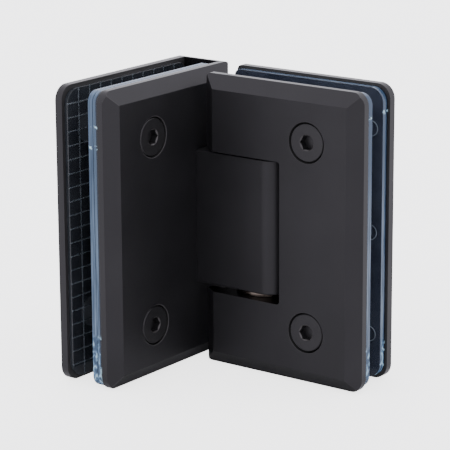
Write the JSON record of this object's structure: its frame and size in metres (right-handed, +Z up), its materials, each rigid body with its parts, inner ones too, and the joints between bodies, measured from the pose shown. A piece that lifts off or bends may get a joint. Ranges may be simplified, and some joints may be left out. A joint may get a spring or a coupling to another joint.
{
  "type": "glass shower door hinge",
  "caption": "Matte black clamp hinge that joins a glass shower door to a fixed glass panel at a right angle; the door wing swings both ways on a vertical pin.",
  "frame": {"origin": "on the pivot axis at mid height, in the middle plane of the door's glass slot", "axes": "+Z up along the pivot pin, +X along the shut door towards its free end, -Y towards the inside of the corner, along the fixed panel"},
  "size_m": [0.0824, 0.0623, 0.09],
  "materials": {
    "matte_black": "fine matte powder coat on forged brass",
    "clear_gasket": "clear soft plastic with a blue tint",
    "black_screw": "black oxide",
    "soft_sleeve": "clear soft plastic",
    "bright_steel": "turned",
    "bush_polymer": "moulded, natural colour",
    "bronze_washer": "stamped, satin"
  },
  "bodies": {
    "fixed_wing": {"fixed_inner_plate": "matte_black", "fixed_outer_plate": "matte_black", "fixed_inner_gasket": "clear_gasket", "fixed_gasket_layer": "clear_gasket", "fixed_outer_gasket": "clear_gasket", "fixed_clamp_screws": "black_screw", "fixed_screw_sleeves": "soft_sleeve", "knuckle_block": "matte_black", "knuckle_screws": "bright_steel", "upper_bush": "bush_polymer", "lower_bush": "bush_polymer", "detent_springs": "bright_steel"},
    "door_wing": {"door_inner_plate": "matte_black", "door_outer_plate": "matte_black", "door_inner_gasket": "clear_gasket", "door_outer_gasket": "clear_gasket", "door_clamp_screws": "black_screw", "door_screw_sleeves": "soft_sleeve", "pivot_pin": "bright_steel", "pin_set_screws": "black_screw", "upper_thrust_washer": "bronze_washer", "lower_thrust_washer": "bronze_washer"},
    "sprung_shoe": {"detent_shoe": "bush_polymer"}
  },
  "joints": [
    {"name": "door_swing", "type": "hinge", "parent": "fixed_wing", "child": "door_wing", "pos_m": [0, 0, 0], "axis": [0, 0, 1], "range_deg": [-90, 90]},
    {"name": "shoe_travel", "type": "slide", "parent": "fixed_wing", "child": "sprung_shoe", "axis": [1, 0, 0], "range_m": [0, 0.0007], "stiffness_N_per_m": 300, "springref_m": 0.004, "deforming": ["detent_springs"]}
  ]
}
